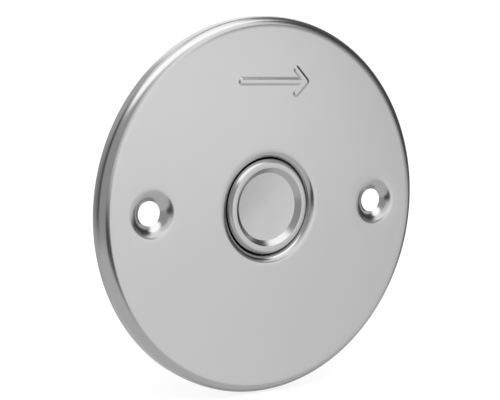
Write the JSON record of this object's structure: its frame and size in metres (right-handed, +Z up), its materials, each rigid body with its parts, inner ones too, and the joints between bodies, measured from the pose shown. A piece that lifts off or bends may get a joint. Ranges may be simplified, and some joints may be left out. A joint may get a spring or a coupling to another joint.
{
  "type": "pedestrian push button",
  "caption": "Flush metal push button in a round pressed steel wall plate with two countersunk screw holes; a sprung cap closes a contact in a threaded barrel behind it.",
  "frame": {"origin": "centre of the round plate on the wall plane, where the rim's rear edge and the gasket's rear face stand", "axes": "+X to the right seen from the front, +Z up, +Y into the wall; the front faces -Y and the barrel runs along +Y"},
  "size_m": [0.098, 0.038, 0.098],
  "materials": {
    "blasted_stainless": "satin",
    "turned_stainless": "satin",
    "barrel_stainless": "satin",
    "plated_steel": "satin",
    "spring_steel": "satin",
    "silver_contact": "satin",
    "brass_strip": "satin",
    "bronze_strip": "satin",
    "black_epdm": "matte",
    "black_nbr": "satin",
    "black_pbt": "matte",
    "green_pbt": "satin",
    "white_pom": "satin"
  },
  "bodies": {
    "root": {"cover_plate": "blasted_stainless", "wall_gasket": "black_epdm", "switch_barrel": "barrel_stainless", "seat_gasket": "black_epdm", "lock_washer": "plated_steel", "barrel_nut": "plated_steel", "guide_bush": "white_pom", "stem_o_ring": "black_nbr", "contact_housing": "black_pbt", "housing_o_ring": "black_nbr", "fixed_tips": "silver_contact", "fixed_contact_left": "brass_strip", "fixed_contact_right": "brass_strip", "rear_cover": "black_pbt", "terminal_screws": "plated_steel", "clamp_washers": "plated_steel", "barrel_circlip": "spring_steel", "return_spring": "spring_steel", "plunger_spring": "spring_steel"},
    "button": {"button_cap": "turned_stainless", "stop_washer": "plated_steel", "retaining_clip": "spring_steel"},
    "plunger": {"plunger": "green_pbt", "contact_spring": "spring_steel"},
    "bridge": {"contact_bridge": "bronze_strip", "bridge_tips": "silver_contact"}
  },
  "joints": [
    {"name": "button_press", "type": "slide", "parent": "root", "child": "button", "axis": [0, 1, 0], "range_m": [0, 0.0015], "stiffness_N_per_m": 1500, "deforming": ["return_spring"]},
    {"name": "plunger_travel", "type": "slide", "parent": "root", "child": "plunger", "axis": [0, 1, 0], "range_m": [0, 0.0015], "deforming": ["plunger_spring"]},
    {"name": "bridge_travel", "type": "slide", "parent": "root", "child": "bridge", "axis": [0, 1, 0], "range_m": [0, 0.001], "deforming": ["contact_spring"]}
  ],
  "couplings": [
    {"joint": "plunger_travel", "follows": "button_press", "ratio": 1},
    {"joint": "bridge_travel", "follows": "button_press", "ratio": 0.666}
  ]
}
